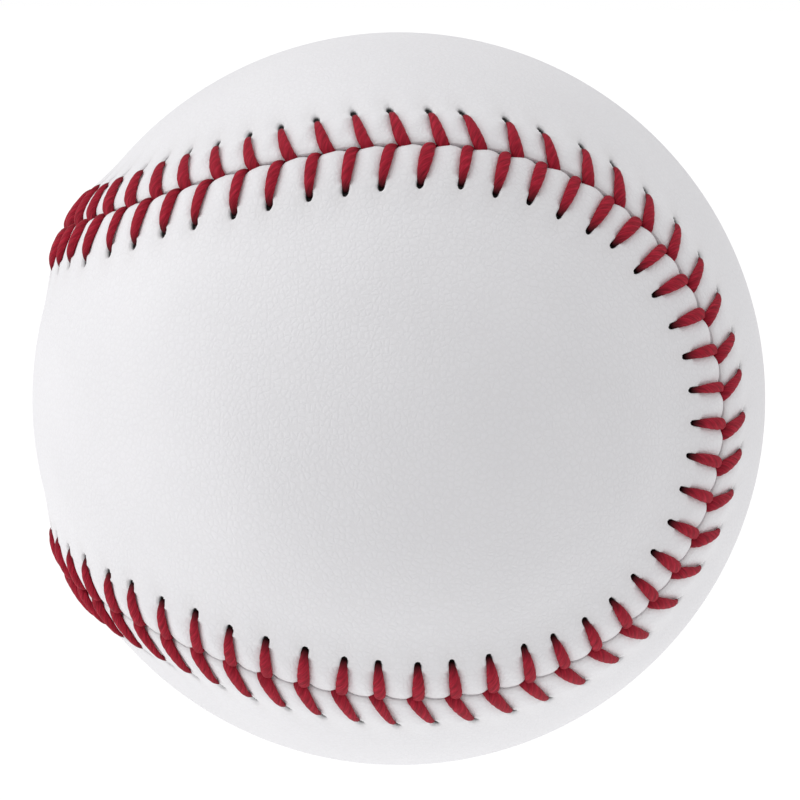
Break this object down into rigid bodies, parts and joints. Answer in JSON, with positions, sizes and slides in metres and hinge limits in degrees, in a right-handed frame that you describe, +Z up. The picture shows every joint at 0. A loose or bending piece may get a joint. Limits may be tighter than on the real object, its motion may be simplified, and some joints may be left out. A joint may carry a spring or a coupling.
{
  "type": "baseball",
  "caption": "Round hand-sewn ball: cushioned cork pill, yarn windings and two white figure-eight leather panels joined by a raised red stitched seam, for throwing and batting.",
  "frame": {"origin": "centre of the ball", "axes": "+Z up, -Y towards the viewer of the picture, X is the axis that the seam turns about"},
  "size_m": [0.0742, 0.0742, 0.0742],
  "materials": {
    "cork": "moulded cork and rubber granules",
    "black_rubber": "moulded matte",
    "red_rubber": "moulded matte",
    "grey_wool": "wound wool yarn",
    "white_wool": "wound wool yarn",
    "white_cotton": "fine wound cotton, cemented",
    "white_leather": "smooth alum-tanned, soft sheen",
    "red_thread": "twisted and waxed"
  },
  "bodies": {
    "root": {"cork_core": "cork", "black_rubber_shell_upper": "black_rubber", "black_rubber_shell_lower": "black_rubber", "rim_gasket_upper": "red_rubber", "rim_gasket_lower": "red_rubber", "red_rubber_half_left": "red_rubber", "red_rubber_half_right": "red_rubber", "first_winding_grey_wool": "grey_wool", "second_winding_white_wool": "white_wool", "third_winding_grey_wool": "grey_wool", "finishing_winding_cotton": "white_cotton", "cover_panel_a": "white_leather", "cover_panel_b": "white_leather", "sewing_thread_one": "red_thread", "sewing_thread_two": "red_thread"}
  },
  "joints": []
}
